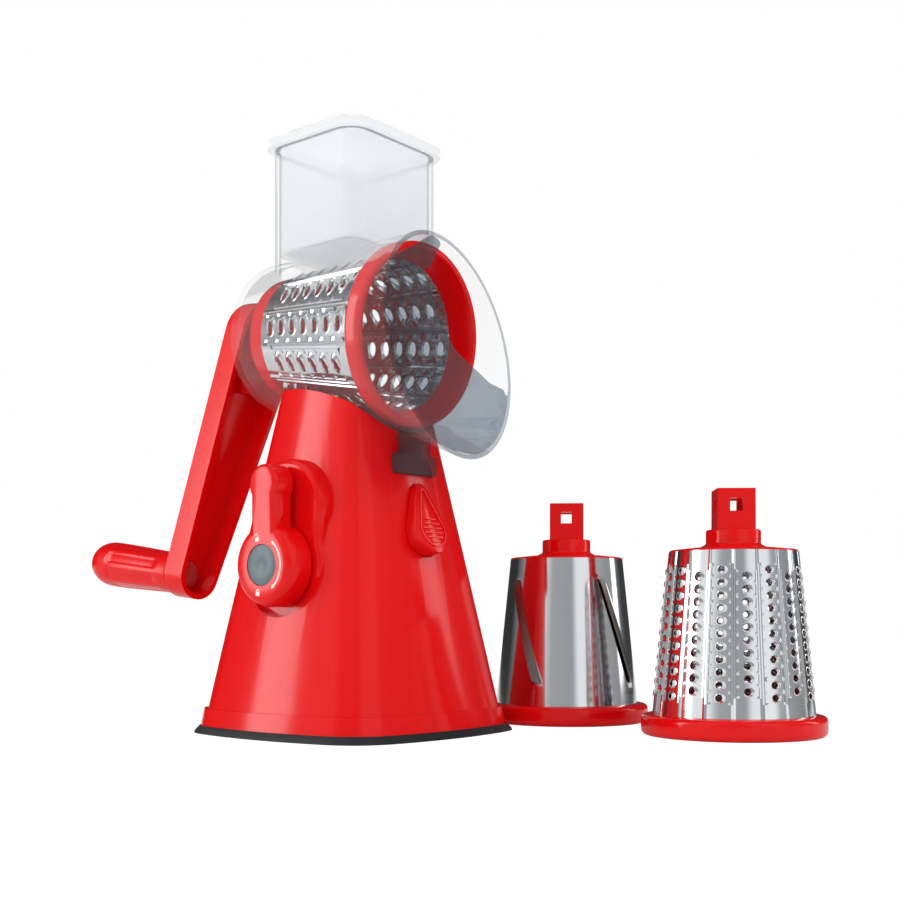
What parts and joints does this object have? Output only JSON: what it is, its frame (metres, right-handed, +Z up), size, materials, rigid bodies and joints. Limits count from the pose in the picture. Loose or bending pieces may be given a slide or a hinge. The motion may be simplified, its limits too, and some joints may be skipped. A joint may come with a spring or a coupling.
{
  "type": "rotary vegetable shredder",
  "caption": "Hand cranked drum shredder on a square suction tower, with a clear hopper and lip, a food pusher and spare slicing and fine grating drums standing beside it",
  "frame": {"origin": "centre of the suction foot's underside, on the table", "axes": "+Z up, the drum's mouth faces -Y, the suction lever is on the -X face, the crank is behind at +Y"},
  "size_m": [0.2101, 0.33, 0.27],
  "materials": {
    "red_plastic": "moulded, glossy, coloured through",
    "black_plastic": "moulded, hidden inside",
    "grey_plastic": "satin grey cap",
    "clear_plastic": null,
    "drum_steel": "polished stainless sheet, punched",
    "plated_steel": "plated steel",
    "black_rubber": "moulded black rubber"
  },
  "bodies": {
    "stand": {"stand_shell": "red_plastic", "base_plate": "black_plastic", "base_screws": "plated_steel", "suction_foot": "black_rubber", "suction_membrane": "black_rubber", "feed_housing": "clear_plastic", "lever_bushing": "black_plastic"},
    "lever": {"suction_lever": "red_plastic", "lever_cap": "grey_plastic", "lever_shaft": "plated_steel", "lift_cam": "black_plastic", "lever_screw": "plated_steel"},
    "lift": {"lift_yoke": "black_plastic", "cup_stud": "plated_steel"},
    "button": {"latch_button": "red_plastic"},
    "rotor": {"coarse_drum_ring": "red_plastic", "coarse_drum_cone": "drum_steel", "coarse_drum_cap": "red_plastic", "crank_arm": "red_plastic", "grip_axle": "plated_steel", "axle_clip": "plated_steel"},
    "grip": {"crank_grip": "red_plastic", "grip_cap": "red_plastic"},
    "pusher": {"food_pusher": "clear_plastic"},
    "slicing_drum": {"slicing_drum_ring": "red_plastic", "slicing_drum_cone": "drum_steel", "slicing_drum_cap": "red_plastic"},
    "fine_drum": {"fine_drum_ring": "red_plastic", "fine_drum_cone": "drum_steel", "fine_drum_cap": "red_plastic"}
  },
  "joints": [
    {"name": "crank_turn", "type": "hinge", "parent": "stand", "child": "rotor", "pos_m": [0, -0.0405, 0.1768], "axis": [0, 0.9938, 0.1115], "continuous": true},
    {"name": "grip_spin", "type": "hinge", "parent": "rotor", "child": "grip", "pos_m": [-0.03349, 0.08382, 0.07322], "axis": [0, 0.9938, 0.1115], "continuous": true},
    {"name": "pusher_lift", "type": "slide", "parent": "stand", "child": "pusher", "axis": [0, 0, 1], "range_m": [0, 0.11]},
    {"name": "lever_turn", "type": "hinge", "parent": "stand", "child": "lever", "pos_m": [-0.05, 0, 0.0745], "axis": [1, 0, 0], "range_deg": [0, 90]},
    {"name": "cup_lift", "type": "slide", "parent": "stand", "child": "lift", "axis": [0, 0, 1], "range_m": [0, 0.0041], "deforming": ["suction_membrane"]},
    {"name": "latch_press", "type": "slide", "parent": "stand", "child": "button", "axis": [0, 0.9805, -0.1967], "range_m": [0, 0.003], "stiffness_N_per_m": 500, "springref_m": -0.003},
    {"name": "slicing_drum_lift", "type": "slide", "parent": "stand", "child": "slicing_drum", "axis": [0, 0, 1], "range_m": [0, 0.15]},
    {"name": "fine_drum_lift", "type": "slide", "parent": "stand", "child": "fine_drum", "axis": [0, 0, 1], "range_m": [0, 0.15]}
  ],
  "couplings": [
    {"joint": "cup_lift", "follows": "lever_turn", "m_per_rad": 0.0025465}
  ]
}
